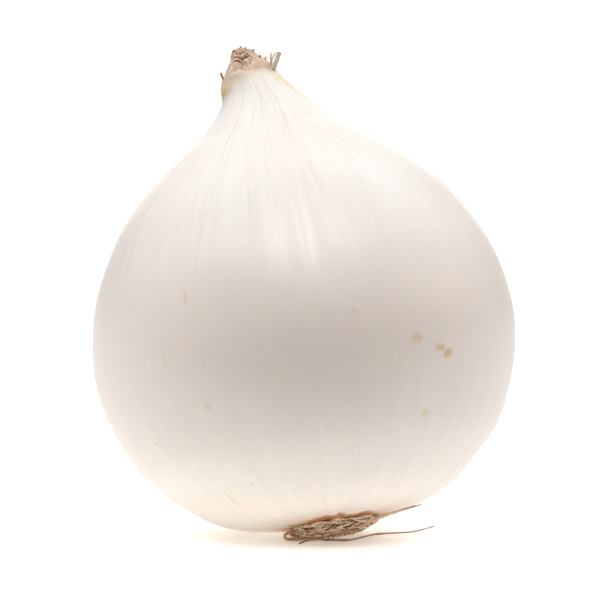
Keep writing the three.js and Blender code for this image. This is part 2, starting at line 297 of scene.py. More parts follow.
def rescale(tree, value, low, high, to_low=0.0, to_high=1.0):
    """A value from low..high smoothly carried to to_low..to_high and held at the ends."""
    sockets = {"Value": value, "From Min": low, "From Max": high,
               "To Min": to_low, "To Max": to_high}
    kind = "SMOOTHSTEP"
    return put(tree, "ShaderNodeMapRange", sockets, interpolation_type=kind).outputs[0]


def blend_colours(tree, factor, first, second, way="MIX"):
    """Two colours mixed by a factor."""
    sockets = {0: factor, 6: first, 7: second}
    node = put(tree, "ShaderNodeMix", sockets, data_type="RGBA", blend_type=way)
    return node.outputs[2]


def noise(tree, vector, scale, detail=2.0, roughness=0.5):
    """A noise value from 0 to 1 at the vector's place."""
    sockets = {"Vector": vector, "Scale": scale, "Detail": detail, "Roughness": roughness}
    return put(tree, "ShaderNodeTexNoise", sockets).outputs["Fac"]


def colour_ramp(tree, factor, stops):
    """A colour from a list of (position, colour) stops."""
    node = put(tree, "ShaderNodeValToRGB", {0: factor})
    elements = node.color_ramp.elements
    while len(elements) < len(stops):
        elements.new(0.5)
    for element, (position, colour) in zip(elements, stops):
        element.position = position
        element.color = (*colour, 1)
    return node.outputs[0]


def new_group(name, inputs, outputs):
    """An empty node group with named input and output sockets, and its two end nodes."""
    group = bpy.data.node_groups.new(name, "ShaderNodeTree")
    for label, kind in inputs.items():
        group.interface.new_socket(label, in_out="INPUT", socket_type=kind)
    for label, kind in outputs.items():
        group.interface.new_socket(label, in_out="OUTPUT", socket_type=kind)
    entry = group.nodes.new("NodeGroupInput")
    return group, entry.outputs, group.nodes.new("NodeGroupOutput").inputs


def use_group(tree, group, sockets):
    """Places a group in a tree and hands back its outputs."""
    return put(tree, "ShaderNodeGroup", sockets, node_tree=group).outputs


def new_material(name):
    """A material with its Principled shader, and the tree that feeds it."""
    material = bpy.data.materials.new(name)
    material.use_nodes = True
    tree = material.node_tree
    return material, tree, tree.nodes["Principled BSDF"]


def attribute(tree, label):
    """A vertex attribute's node."""
    return put(tree, "ShaderNodeAttribute", attribute_name=label)


# %% [markdown]
# ## Three effects that are used again and again
#
# Onion tissue is made of long cells, so the skin, the dry tip and the roots all show fine
# streaks that run along the growth. The streaks group stretches noise along one
# direction. The vein group parts the turn round the axis into cells of uneven widths, and
# draws a line of an even width in millimetres on each border. The mark group makes one
# soft spot on the skin.

# %% The streaks group
FLOAT, VECTOR = "NodeSocketFloat", "NodeSocketVector"
streaks, given, result = new_group(
    "lengthwise_streaks",
    {"Vector": VECTOR, "Across": FLOAT, "Along": FLOAT},
    {"Fine": FLOAT, "Broad": FLOAT},
)
stretch = put(streaks, "ShaderNodeCombineXYZ",
              {"X": given["Across"], "Y": given["Across"], "Z": given["Along"]}).outputs[0]
stretched = vector_math(streaks, "MULTIPLY", given["Vector"], stretch)
streaks.links.new(noise(streaks, stretched, 1.0, 3.0, 0.6), result["Fine"])
streaks.links.new(noise(streaks, stretched, 0.17, 2.0, 0.5), result["Broad"])

# %% The vein group
veins, given, result = new_group(
    "thin_veins",
    {"Ring": VECTOR, "Turn": FLOAT, "Radius": FLOAT, "Count": FLOAT, "Half Width": FLOAT},
    {"Mask": FLOAT},
)
wander = calculate(veins, "MULTIPLY", noise(veins, given["Ring"], 1.3, 1.0), 0.8)
cell = calculate(veins, "MULTIPLY_ADD", given["Turn"], given["Count"], wander)
border = put(veins, "ShaderNodeTexVoronoi", {"W": cell, "Scale": 1.0},
             voronoi_dimensions="1D", feature="DISTANCE_TO_EDGE").outputs["Distance"]
turn_away = calculate(veins, "DIVIDE", border, given["Count"])
radians_away = calculate(veins, "MULTIPLY", turn_away, 2 * math.pi)
millimetres = calculate(veins, "MULTIPLY", radians_away, given["Radius"])
widths = calculate(veins, "DIVIDE", millimetres, given["Half Width"])
veins.links.new(rescale(veins, widths, 0.2, 1.0, 1.0, 0.0), result["Mask"])

# %% The mark group
mark, given, result = new_group(
    "skin_mark",
    {"Ring": VECTOR, "Direction": VECTOR, "Along": FLOAT, "Half Turn": FLOAT,
     "Half Length": FLOAT},
    {"Mask": FLOAT},
)
facing = vector_math(mark, "DOT_PRODUCT", given["Ring"], given["Direction"])
turned = calculate(mark, "ARCCOSINE", calculate(mark, "MINIMUM", facing, 1.0))
off_along = calculate(mark, "SUBTRACT", height_of(mark, given["Ring"]), given["Along"])
across = calculate(mark, "POWER", calculate(mark, "DIVIDE", turned, given["Half Turn"]), 2.0)
along = calculate(mark, "DIVIDE", off_along, given["Half Length"])
distance = calculate(mark, "ADD", across, calculate(mark, "MULTIPLY", along, along))
ragged = noise(mark, given["Ring"], 60.0, 3.0)
distance = calculate(mark, "ADD", distance, calculate(mark, "MULTIPLY_ADD", ragged, 1.6, -0.8))
mark.links.new(rescale(mark, distance, -0.2, 1.5, 1.0, 0.0), result["Mask"])

# %% [markdown]
# ## The white skin
#
# The skin is pearly rather than pure white, with grey hairline veins that gather at the
# neck, a yellow flush where it dries, an orange stain round the root plate, and about
# twenty small age spots. Light sinks into it a little, so it has some subsurface
# scattering. The streaks also change its roughness and go into a bump, so that its gloss
# breaks up along the growth.

# %% Places of the marks on the skin
SKIN_MARKS = [
    # angle in degrees, height, half width and half length in mm, strength, colour
    (-122.8, 6.7, 0.7, 1.7, 0.4, "ochre"),
    (-133.0, -5.5, 0.6, 1.8, 0.3, "ochre"),
    (-123.0, -16.1, 0.9, 0.8, 0.42, "ochre"),
    (-126.8, -14.7, 0.6, 0.7, 0.19, "tan"),
    (-133.7, -19.3, 0.7, 1.0, 0.19, "tan"),
    (-148.7, -17.1, 0.6, 1.2, 0.22, "tan"),
    (-151.7, -20.2, 0.4, 0.5, 0.48, "brown"),
    (-122.8, -32.2, 0.4, 0.4, 0.48, "brown"),
    (-98.6, 5.4, 0.6, 1.2, 0.14, "tan"),
    (-138.5, -34.2, 0.8, 3.8, 0.34, "ochre"),
    (-139.9, -27.2, 0.6, 1.0, 0.26, "ochre"),
    (-158.2, 37.4, 0.4, 0.7, 0.36, "brown"),
    (-140.2, 40.7, 0.6, 3.2, 0.19, "tan"),
    (-72.7, -2.5, 0.7, 1.0, 0.2, "tan"),
    (-59.6, -9.0, 1.3, 1.2, 0.34, "ochre"),
    (-53.6, -11.4, 1.2, 1.0, 0.7, "ochre"),
    (-51.2, -12.7, 1.1, 1.2, 0.85, "ochre"),
    (-56.4, -24.0, 0.8, 1.2, 0.42, "ochre"),
    (62.0, 12.0, 0.9, 1.4, 0.28, "tan"),
    (118.0, -8.0, 0.7, 1.1, 0.34, "ochre"),
    (150.0, 20.0, 0.6, 1.5, 0.22, "tan"),
    (20.0, -18.0, 0.8, 1.0, 0.25, "tan"),
    (-144.0, 57.2, 1.5, 2.2, 0.85, "neck"),
    (-154.0, 56.0, 1.8, 2.6, 1.0, "neck"),
    (-168.0, 54.6, 1.5, 2.5, 0.95, "neck"),
    (-52.0, 56.2, 0.7, 2.6, 0.7, "yellow"),
    (-42.0, 54.0, 0.8, 3.4, 0.75, "yellow"),
    (70.0, 55.0, 2.0, 2.6, 0.5, "neck"),
]
STAIN_PEAKS = [
    # angle in degrees, radius, half width and half length in mm, strength
    (-126, 10.4, 2.6, 1.5, 0.4), (-114, 10.7, 1.6, 1.8, 0.85), (-105, 11.3, 1.8, 2.4, 1.0),
    (-97, 11.6, 1.2, 2.9, 1.0), (-90, 11.0, 1.7, 2.2, 1.0), (-80, 11.8, 1.0, 2.9, 1.0),
    (-70, 10.4, 1.3, 1.4, 0.75), (-56, 10.8, 1.5, 2.3, 1.0), (-47, 10.2, 1.1, 1.7, 0.85),
]
MARK_COLOURS = {
    "tan": (0.66, 0.47, 0.22, 1),
    "ochre": (0.72, 0.50, 0.17, 1),
    "brown": (0.30, 0.20, 0.12, 1),
    "neck": (0.63, 0.39, 0.08, 1),
    "yellow": (0.86, 0.68, 0.16, 1),
    "stain": (0.42, 0.12, 0.003, 1),
}


# %% Read the outline at a height
def length_at(height):
    """How far along the outline a height is, in bulb radii."""
    return np.interp(height, outline[:, 1], outline_length) / BULB_RADIUS


def radius_at(height):
    """The outline's radius at a height."""
    return np.interp(height, outline[:, 1], outline[:, 0])


print("the widest place is", round(length_at(0) * BULB_RADIUS, 1), "mm along the outline")

# %% Colours of the skin
SKIN_WHITE = (0.890, 0.828, 0.752, 1)
SKIN_SHADE = (0.850, 0.785, 0.710, 1)
# painted shade: a warm tint multiplied in round the bulb's middle, for the warm tone of the band
# that lies in shade
PAINTED_SHADE_TINT = (1.06, 1.015, 1.0, 1)
VEIN_COLOUR = (0.50, 0.45, 0.41, 1)
STAIN_LIGHT = (0.78, 0.61, 0.40, 1)
STAIN_MIDDLE = (0.58, 0.30, 0.08, 1)
STAIN_DARK = (0.42, 0.14, 0.015, 1)
DRY_CREAM = (0.86, 0.75, 0.58, 1)
DRY_TAN = (0.77, 0.61, 0.46, 1)

# %% Veins
def vein_mask(tree, ring):
    """Two sets of veins, broken up by noise. They show near the neck, hardly at all round the
    middle, and faintly again towards the base."""
    place = {"Ring": ring, "Turn": attribute(tree, "turn").outputs["Fac"],
             "Radius": attribute(tree, "radius").outputs["Fac"]}
    along_here = height_of(tree, ring)
    strong = use_group(tree, veins, {**place, "Count": 23.0, "Half Width": 0.17})["Mask"]
    faint = use_group(tree, veins, {**place, "Count": 61.0, "Half Width": 0.14})["Mask"]
    both = calculate(tree, "MAXIMUM", strong, calculate(tree, "MULTIPLY", faint, 0.5))
    broken = rescale(tree, noise(tree, ring, 4.0, 2.0), 0.36, 0.62, 0.25, 1.0)
    top = rescale(tree, along_here, length_at(0), length_at(38), 0.06, 0.42)
    low = rescale(tree, along_here, length_at(-36), length_at(-12), 0.12, 0.0)
    where = calculate(tree, "ADD", top, low)
    return calculate(tree, "MULTIPLY", both, calculate(tree, "MULTIPLY", broken, where))


# %% The stain round the root plate
PLATE_EDGE = 9.3 / BULB_RADIUS
STAIN_REACH = 0.06
STAIN_SIDE = (-0.34, -0.94, 0.0)


def stain_masks(tree, ring):
    """How far the stain round the plate reaches at a point: pale haze, then strong peaks
    that noise in the angle alone draws out. It is strongest on the front left."""
    along_here = height_of(tree, ring)
    stretched = vector_math(tree, "MULTIPLY", ring, (5.0, 5.0, 0.6))
    peaks = noise(tree, stretched, 1.0, 4.0, 0.65)
    sharp = rescale(tree, peaks, 0.42, 0.68)
    facing = vector_math(tree, "DOT_PRODUCT", ring, STAIN_SIDE)
    front = rescale(tree, facing, 0.2, 0.95, 0.35, 1.0)
    reach = calculate(tree, "MULTIPLY", calculate(tree, "MULTIPLY", sharp, front), STAIN_REACH)
    past_edge = calculate(tree, "SUBTRACT", along_here, reach)
    haze = rescale(tree, past_edge, PLATE_EDGE - 0.01, PLATE_EDGE + 0.19, 0.42, 0.0)
    middle = rescale(tree, past_edge, PLATE_EDGE - 0.01, PLATE_EDGE + 0.075, 0.85, 0.0)
    strong = rescale(tree, past_edge, PLATE_EDGE - 0.03, PLATE_EDGE + 0.03, 1.0, 0.0)
    strong = calculate(tree, "MULTIPLY", strong, calculate(tree, "MULTIPLY", sharp, 0.6))
    return haze, middle, strong


# %% The dry edge at the neck
CREAM_START, CREAM_FULL = 56.6, 59.4
TAN_START, TAN_FULL = 58.5, 60.3


def dry_edge(tree, place, stripes, hairlines, colour):
    """Where the skin dries into the tip: cream first, then tan, above a height in the
    upright onion that streaky noise feathers. It is higher on the front right."""
    tongues = vector_math(tree, "MULTIPLY", place, (1.1, 1.1, 0.25))
    streaky = calculate(tree, "MULTIPLY", hairlines, 1.2)
    streaky = calculate(tree, "MULTIPLY_ADD", stripes, 1.6, streaky)
    streaky = calculate(tree, "MULTIPLY_ADD", noise(tree, tongues, 0.8, 3.0), 2.8, streaky)
    parts = put(tree, "ShaderNodeSeparateXYZ", {0: place}).outputs
    side = calculate(tree, "MULTIPLY", parts["X"], -0.11)
    front = calculate(tree, "MULTIPLY", parts["Y"], 0.10)
    height = calculate(tree, "ADD", calculate(tree, "ADD", parts["Z"], streaky),
                       calculate(tree, "ADD", side, front))
    cream = rescale(tree, height, CREAM_START, CREAM_FULL, 0.0, 0.8)
    tan = rescale(tree, height, TAN_START, TAN_FULL)
    colour = blend_colours(tree, cream, colour, DRY_CREAM)
    return blend_colours(tree, tan, colour, DRY_TAN)


# %% The white and its shades
# how closely streaks lie across and along: hairlines, stripes, broad stripes
SKIN_STREAKS = [(190.0, 9.0), (60.0, 2.0), (24.0, 0.9)]


def skin_shades(tree, ring, place, hairlines, stripes, broad_stripes):
    """The white, shaded by stripes, hairlines and a cloudy mottle. These are faint round the
    middle, where a warmer tint is multiplied in instead: painted shade, a warm shade tone for
    the band round the middle that the overhead lights leave in shade."""
    along_here = height_of(tree, ring)
    base = rescale(tree, along_here, length_at(-26), length_at(-10), 0.6, 0.0)
    ends = calculate(tree, "ADD", rescale(tree, along_here, length_at(4), length_at(24)), base)
    shade = rescale(tree, calculate(tree, "MULTIPLY_ADD", broad_stripes, 0.6,
                                    calculate(tree, "MULTIPLY", stripes, 0.4)), 0.4, 0.62)
    shade = calculate(tree, "MULTIPLY", shade, calculate(tree, "MULTIPLY_ADD", ends, 0.75, 0.15))
    hair = calculate(tree, "MULTIPLY", rescale(tree, hairlines, 0.5, 0.8), 0.2)
    cloud = rescale(tree, noise(tree, place, 0.9, 4.0, 0.65), 0.42, 0.66, 0.0, 0.5)
    cloud = calculate(tree, "MULTIPLY", cloud, ends)
    colour = SKIN_WHITE
    for share in (shade, hair, cloud):
        colour = blend_colours(tree, share, colour, SKIN_SHADE)
    # painted shade: the band round the middle is tinted warmer, as its shade is
    painted_shade_band = calculate(tree, "SUBTRACT", rescale(tree, along_here, length_at(-32), length_at(-14)),
                      rescale(tree, along_here, length_at(0), length_at(22)))
    return blend_colours(tree, painted_shade_band, colour, PAINTED_SHADE_TINT, "MULTIPLY")


# %% Marks
def add_marks(tree, ring, colour):
    """The colour with a spot blended in for each line of the two tables."""
    spots = [(degrees, length_at(height), radius_at(height), *rest)
             for degrees, height, *rest in SKIN_MARKS]
    spots += [(degrees, radius / BULB_RADIUS, radius, *rest, "stain")
              for degrees, radius, *rest in STAIN_PEAKS]
    for degrees, along, radius, half_width, half_length, strength, kind in spots:
        direction = (math.cos(math.radians(degrees)), math.sin(math.radians(degrees)), 0)
        mask = use_group(tree, mark, {
            "Ring": ring, "Direction": direction, "Along": along,
            "Half Turn": half_width / radius, "Half Length": half_length / BULB_RADIUS})["Mask"]
        share = calculate(tree, "MULTIPLY", mask, strength)
        colour = blend_colours(tree, share, colour, MARK_COLOURS[kind])
    return colour


print(len(SKIN_MARKS), "marks and", len(STAIN_PEAKS), "peaks of the stain")

# %% Build the skin's material
def skin_material():
    """The white skin: its shades, then veins, stain, marks and dry edge over them."""
    material, tree, shader = new_material("white_skin_finish")
    ring = attribute(tree, "ring").outputs["Vector"]
    place = attribute(tree, "upright").outputs["Vector"]
    hairlines, stripes, broad_stripes = [
        use_group(tree, streaks, {"Vector": ring, "Across": across, "Along": along})["Fine"]
        for across, along in SKIN_STREAKS]
    colour = skin_shades(tree, ring, place, hairlines, stripes, broad_stripes)
    colour = blend_colours(tree, vein_mask(tree, ring), colour, VEIN_COLOUR)
    for mask, stain in zip(stain_masks(tree, ring), (STAIN_LIGHT, STAIN_MIDDLE, STAIN_DARK)):
        colour = blend_colours(tree, mask, colour, stain)
    colour = add_marks(tree, ring, colour)
    colour = dry_edge(tree, place, stripes, hairlines, colour)
    mottle = noise(tree, place, 1.1, 3.0)
    lines = calculate(tree, "MULTIPLY_ADD", stripes, 1.6, hairlines)
    lines = calculate(tree, "MULTIPLY_ADD", mottle, 0.5, lines)
    bump = put(tree, "ShaderNodeBump", {"Height": lines, "Strength": 0.10, "Distance": 0.0003})
    gloss = calculate(tree, "MULTIPLY_ADD", mottle, 0.4, broad_stripes)
    rough = rescale(tree, gloss, 0.5, 0.9, 0.34, 0.50)
    tree.links.new(colour, shader.inputs["Base Color"])
    tree.links.new(rough, shader.inputs["Roughness"])
    tree.links.new(bump.outputs[0], shader.inputs["Normal"])
    shader.inputs["IOR"].default_value = 1.5
    shader.inputs["Specular IOR Level"].default_value = 0.9
    shader.inputs["Subsurface Weight"].default_value = 0.25
    shader.inputs["Subsurface Radius"].default_value = (1.0, 0.8, 0.6)
    shader.inputs["Subsurface Scale"].default_value = 0.003
    return material


# %% Make the skin
def ring_attribute(angle, length):
    """cos and sin of the angle, and the length along the outline in bulb radii."""
    angle, length = np.broadcast_arrays(angle, length / BULB_RADIUS)
    return np.stack([np.cos(angle), np.sin(angle), length], axis=-1)


def with_ends(grid):
    """A grid's vertices with the middle of its first row and of its last row added."""
    flat = grid.reshape(-1, grid.shape[-1])
    return np.concatenate([flat, [grid[0].mean(axis=0), grid[-1].mean(axis=0)]])


skin_points = with_ends(skin_grid[1:])
skin_ring = ring_attribute(angle, outline_length[:, None])
skin_radius = np.repeat(outline[1:, :1], COLUMNS, axis=1)[..., None]
skin_turn = (turn[None, :] + 0 * outline[1:, :1])[..., None]
bulb_skin = make_piece(
    "bulb_skin", stand(skin_points), tube_faces(len(outline) - 1, COLUMNS),
    skin_material(), "bulb", "white_skin", ring=with_ends(skin_ring[1:]),
    radius=with_ends(skin_radius)[:, 0], turn=with_ends(skin_turn)[:, 0], upright=skin_points,
)

# %% [markdown]
# ## The dry tip of the neck
#
# Where the leaves were, the neck has dried into a lopsided cap. It is highest on the left,
# in a knob of folds pressed together like nested letters V, and slopes down to the right as
# a tan membrane. It is one dome through rings of changing centre and size, raised and
# coloured by the same folding formula: the ridges are painted paler, a painted highlight,
# and the hollows between and the creases' troughs are painted browner, a painted shade.

# %% The dome under the folds
TIP_RINGS = np.array([
    # radius, height and how far left the middle is
    (6.5, 54.6, 1.0), (6.25, 56, 1.6), (6.15, 57.3, 2.05), (5.95, 58, 2.2), (5.5, 59, 2.2),
    (4.95, 60, 2.2), (4.15, 61, 2.4), (3.35, 62, 2.7), (2.7, 63, 3.1), (1.6, 63.9, 3.4),
    (0.3, 64.3, 3.4),
])
TIP_COLUMNS = 300
tip_rings, tip_length = even_steps(spline(TIP_RINGS), 150)
tip_angle = (SEAM_ANGLE + 2 * math.pi * np.arange(TIP_COLUMNS) / TIP_COLUMNS)[None, :]
tip_radius, tip_height, tip_left = (column[:, None] + 0 * tip_angle for column in tip_rings.T)
tip_middle = -tip_left

# %% Fold it
FOLDS = [
    # the course of each fold, left to right and up, then of the hollow above it: its
    # middle, its half width and how deep it is
    ([(-5.4, 62.0), (-4.7, 62.25), (-3.6, 61.8), (-2.6, 62.2), (-1.8, 62.7)], -3.6, 0.8, 0.45),
    ([(-6.2, 61.3), (-5.6, 61.5), (-4.3, 61.25), (-3.6, 60.3), (-2.6, 60.85), (-1.2, 60.8)],
     -3.1, 1.5, 1.0),
    ([(-5.0, 60.5), (-4.4, 60.2), (-3.8, 59.5), (-3.1, 60.3), (-2.2, 60.4)], -3.9, 1.1, 0.95),
    ([(-4.5, 59.5), (-3.8, 58.9), (-3.1, 59.3)], -3.7, 0.7, 0.5),
]
FOLD_WIDTH = 0.17
HOLLOW_UP, HOLLOW_WIDTH = 0.55, 0.42
TIP_SEED = 5


def v_folds(x, height, front):
    """Nested V ridges on the front of the knob. A ridge follows its course, which is
    interpolated at x, and is a bell curve across it that fades past the course's ends. The
    hollow is a wider bell curve that lies just above the ridge."""
    ridge, hollow = 0 * x, 0 * x
    for course, middle, half, depth in FOLDS:
        xs, heights = np.array(course).T
        line = np.interp(x, xs, heights)
        inside = smooth_step(x, xs[0] - 0.3, xs[0] + 0.5)
        inside = inside * smooth_step(-x, -xs[-1] - 0.3, 0.5 - xs[-1])
        up = height - line
        ridge = np.maximum(ridge, np.exp(-((up / FOLD_WIDTH) ** 2)) * inside)
        reach = np.exp(-(((x - middle) / half) ** 2)) * depth
        hollow = np.maximum(hollow, np.exp(-(((up - HOLLOW_UP) / HOLLOW_WIDTH) ** 2)) * reach)
    return ridge * front, np.clip(hollow - ridge, 0, 1) * front


def crumple(angle, height, seed, waves=26):
    """Small creases: a sum of slanting sine waves round the tip, sharpened by taking each
    one's absolute value from 1."""
    seeded = np.random.default_rng(seed)
    total = 0
    for _ in range(waves):
        count, slope = seeded.integers(5, 26), seeded.uniform(-2.2, 2.2)
        phase, depth = seeded.uniform(0, 2 * math.pi), seeded.uniform(0.3, 1)
        total = total + depth * (1 - 2 * np.abs(np.sin(count * angle / 2 + slope * height + phase)))
    return total / waves**0.5


tip_x = tip_middle + tip_radius * np.cos(tip_angle)
frontness = smooth_step(-np.sin(tip_angle), 0.35, 0.75)
ridge, hollow = v_folds(tip_x, tip_height, frontness)
dryness = smooth_step(tip_height, 57.2, 60.5)
creases = crumple(tip_angle, tip_height, TIP_SEED)
tip_out = 0.22 * ridge - 0.40 * hollow + 0.16 * dryness * creases * (1 - hollow) - 0.08
tip_grid = np.stack([
    tip_middle + (tip_radius + tip_out) * np.cos(tip_angle),
    (tip_radius + tip_out) * np.sin(tip_angle),
    tip_height + 0.1 * creases * dryness,
], axis=-1)

# %% How dry and how brown each point of the tip is, with painted shade and highlight
tip_dry = smooth_step(tip_height, 56.6, 58.2)
# painted shade and highlight: browner in the hollows and the creases' troughs, paler on the ridges;
# the base tone and the rise near the top are the tip's own brown
tip_brown_and_shade = np.clip(0.17 - 0.12 * creases + 0.72 * hollow - 0.12 * ridge
                    + 0.12 * smooth_step(tip_height, 61, 64), 0, 1)

# %% [markdown]
# ## The finish of dry tissue
#
# Dead papery tissue runs from the skin's white through pinkish tan to dark brown. One
# attribute says how dry a vertex is and another how brown, and the shared streaks break
# both up. On the tip and the plate's disc, the brown attribute also holds painted shade in
# hollows and dips and a painted highlight on ridges and lumps. The same recipe serves the
# roots, with its own colours.

# %% Build the dry materials
PAPER_STOPS = [
    (0.0, (0.90, 0.77, 0.63)), (0.3, (0.68, 0.49, 0.35)), (0.55, (0.42, 0.23, 0.12)),
    (0.8, (0.22, 0.10, 0.05)), (1.0, (0.11, 0.06, 0.04)),
]
ROOT_STOPS = [
    (0.0, (0.98, 0.84, 0.66)), (0.3, (0.80, 0.58, 0.40)), (0.55, (0.54, 0.33, 0.19)),
    (0.8, (0.28, 0.14, 0.07)), (1.0, (0.12, 0.06, 0.03)),
]


def dry_material(name, stops, across, along, bump_depth, roughness):
    """Dry tissue: a colour ramp on brownness, streaked along, and skin white where not dry.
    On the tip and the disc the brownness also holds painted shade and painted highlight.
    """
    material, tree, shader = new_material(name + "_finish")
    ring = attribute(tree, "ring").outputs["Vector"]
    dry = attribute(tree, "dry").outputs["Fac"]
    # brown is the tissue's own brownness, plus painted shade in the hollows and dips and painted
    # highlight on the ridges and lumps of the tip and the disc
    brown = attribute(tree, "brown").outputs["Fac"]
    lines = use_group(tree, streaks, {"Vector": ring, "Across": across, "Along": along})
    wander = calculate(tree, "MULTIPLY_ADD", lines["Fine"], 1.2, -0.6)
    tone = calculate(tree, "ADD", brown, wander)
    colour = colour_ramp(tree, tone, stops)
    feather = calculate(tree, "MULTIPLY_ADD", lines["Broad"], 1.0, -0.5)
    cover = rescale(tree, calculate(tree, "ADD", dry, feather), 0.2, 0.8)
    white = blend_colours(tree, lines["Fine"], SKIN_WHITE, SKIN_SHADE)
    colour = blend_colours(tree, cover, white, colour)
    bump = put(tree, "ShaderNodeBump",
               {"Height": lines["Fine"], "Strength": 0.5, "Distance": bump_depth})
    tree.links.new(colour, shader.inputs["Base Color"])
    tree.links.new(rescale(tree, cover, 0.0, 1.0, 0.42, roughness), shader.inputs["Roughness"])
    tree.links.new(bump.outputs[0], shader.inputs["Normal"])
    shader.inputs["IOR"].default_value = 1.45
    return material


paper_material = dry_material("dry_paper", PAPER_STOPS, 60.0, 14.0, 0.0002, 0.7)
root_material = dry_material("dry_root", ROOT_STOPS, 40.0, 8.0, 0.00015, 0.8)

PAST_THE_SKIN = 118  # keeps the tip's streaks apart from the skin's
tip_ring = ring_attribute(tip_angle, tip_length[:, None] + PAST_THE_SKIN)
neck_cap = make_piece(
    "neck_cap", stand(with_ends(tip_grid)), tube_faces(len(tip_rings), TIP_COLUMNS),
    paper_material, "neck_tip", "dry_paper", ring=with_ends(tip_ring),
    dry=with_ends(tip_dry[..., None])[:, 0], brown=with_ends(tip_brown_and_shade[..., None])[:, 0],
)

# %% [markdown]
# ## Strands
#
# Roots, fibres and the finger on the neck are all tubes along a path. Hundreds of them cost
# nothing extra when the paths are one array: every ring of every tube is found in a single
# sum. A tube's ring needs two directions square to its path, and cross products give them.

# %% Tubes along many paths at once
STRAND_TURN = 2.4  # each strand's pattern is turned on from the last one's by this angle


def unit(vectors):
    """Vectors divided by their length."""
    return vectors / np.maximum(np.linalg.norm(vectors, axis=-1, keepdims=True), 1e-12)


def tubes(paths, radii, sides):
    """Rings along each path: the point plus radius times (cos a N + sin a B), where T is the
    path's direction, N is T x U for a steady U that the path doesn't follow, and B is T x N.
    Every tube's rings are followed by its two end points."""
    direction = unit(np.gradient(paths, axis=1))
    mean = np.abs(direction.mean(axis=1))
    steady = np.eye(3)[mean.argmin(axis=-1)][:, None, :]
    normal = unit(np.cross(direction, steady))
    binormal = np.cross(direction, normal)
    a = 2 * math.pi * np.arange(sides) / sides
    ring = (np.cos(a)[:, None] * normal[:, :, None] + np.sin(a)[:, None] * binormal[:, :, None])
    points = paths[:, :, None] + radii[:, :, None, None] * ring
    count, steps = paths.shape[:2]
    points = points.reshape(count, steps * sides, 3)
    return np.concatenate([points, paths[:, :1], paths[:, -1:]], axis=1)


def to_vertices(values, sides):
    """One value for each point of each path, given to all the vertices of its ring and to
    the two end points."""
    rings = np.repeat(values, sides, axis=1)
    return np.concatenate([rings, values[:, :1], values[:, -1:]], axis=1)


def make_strands(name, paths, radii, sides, brown, material, node, slot):
    """One piece of many tubes. Brown is one value for each point of each path."""
    count, steps = paths.shape[:2]
    spread = to_vertices(brown, sides)
    along = to_vertices(np.linspace(0, 1, steps) + 0 * brown, sides)
    number = STRAND_TURN * np.arange(count)[:, None] + 0 * spread
    ring = np.stack([np.cos(number), np.sin(number), along], axis=-1)
    return make_piece(
        name, stand(tubes(paths, radii, sides)), tube_faces(steps, sides, count),
        material, node, slot, ring=ring, brown=spread, dry=np.ones_like(spread),
    )


# %% Strands that stand off the dry tip
TIP_STRANDS = [
    # path, thickness at the root and the tip, and how brown
    ([(2.3, -3.2, 57.2), (3.3, -3.9, 58.6), (4.1, -4, 60), (4.65, -3.9, 61.1)],
     1.15, 1.0, 0.02),
    ([(2.2, -3.4, 58), (2.7, -3.9, 59.5), (2.7, -4, 60.5), (3.0, -4, 61.3)],
     0.7, 0.3, 0.12),
    ([(2.6, -3.8, 59.2), (2.9, -4, 60), (3.4, -4, 60.6), (3.8, -4, 61.1)],
     0.5, 0.25, 0.12),
    ([(-6.9, -1.5, 56.8), (-7.8, -1.9, 57.4), (-8.2, -2, 58.2), (-8.4, -2, 59.1)],
     0.8, 0.4, 0.55),
    ([(-4.1, -0.8, 63.2), (-4.5, -0.9, 63.4), (-4.8, -0.9, 63.5), (-5, -0.9, 63.7)],
     1.0, 0.6, 0.85),
    ([(-3.4, -0.8, 63.8), (-3.3, -0.9, 64), (-3.2, -0.9, 64.2), (-3.1, -0.9, 64.4)],
     0.9, 0.3, 0.45),
    ([(-2.6, -0.8, 63.5), (-2.4, -0.9, 63.7), (-2.3, -0.9, 63.9), (-2.2, -0.9, 64.1)],
     0.8, 0.3, 0.5),
    ([(-1.2, -0.8, 62.8), (-1.0, -0.9, 63), (-0.7, -0.9, 63.1), (-0.5, -0.9, 63.2)],
     1.0, 0.5, 0.35),
    ([(0.0, -2.2, 60.8), (0.3, -2.4, 61.1), (0.5, -2.5, 61.3), (0.7, -2.5, 61.5)],
     0.9, 0.3, 0.5),
    ([(1.3, -2.4, 60.2), (1.5, -2.6, 60.5), (1.7, -2.6, 60.8), (1.9, -2.6, 61.0)],
     0.7, 0.2, 0.3),
]


def strand_paths(strands, steps):
    """The smooth paths, radii and brownness of strands given by a few points each. The
    thickness is blended from root to tip, and the last stretch darkens."""
    share = np.linspace(0, 1, steps)
    paths = np.stack([even_steps(spline(points), steps)[0] for points, *_ in strands])
    thick = np.array([(root, tip) for _, root, tip, _ in strands])
    radii = (thick[:, :1] * (1 - share) + thick[:, 1:] * share) / 2
    brown = np.array([tone for *_, tone in strands])[:, None] + 0.35 * share**4
    return paths, radii, np.clip(brown, 0, 1)


tip_paths, tip_radii, tip_tones = strand_paths(TIP_STRANDS, 24)
tip_strands = make_strands("tip_strands", tip_paths, tip_radii, 10, tip_tones,
                           paper_material, "neck_tip", "dry_paper")

# %% [markdown]
# ## The root plate
#
# The plate is a low disc whose old roots have dried into a mat, mostly lying flat round its
# edge. A lumpy disc fills the middle, and several hundred short curved fibres are wound
# over it, each a little off its neighbours. What would be below the floor is pressed flat.

# %% The disc
PLATE_OUTLINE = np.array([
    (0.4, -40.5), (6, -40.5), (8.4, -40.6), (8.9, -41), (8.8, -41.6), (8.0, -42.4),
    (5.5, -43.0), (2.5, -42.9), (0.3, -42.8),
])
PLATE_COLUMNS = 160
PLATE_TOP = -40.6
PLATE_TILT = 0.07
PLATE_SEED = 9
plate_line, plate_length = even_steps(spline(PLATE_OUTLINE)[::-1], 70)


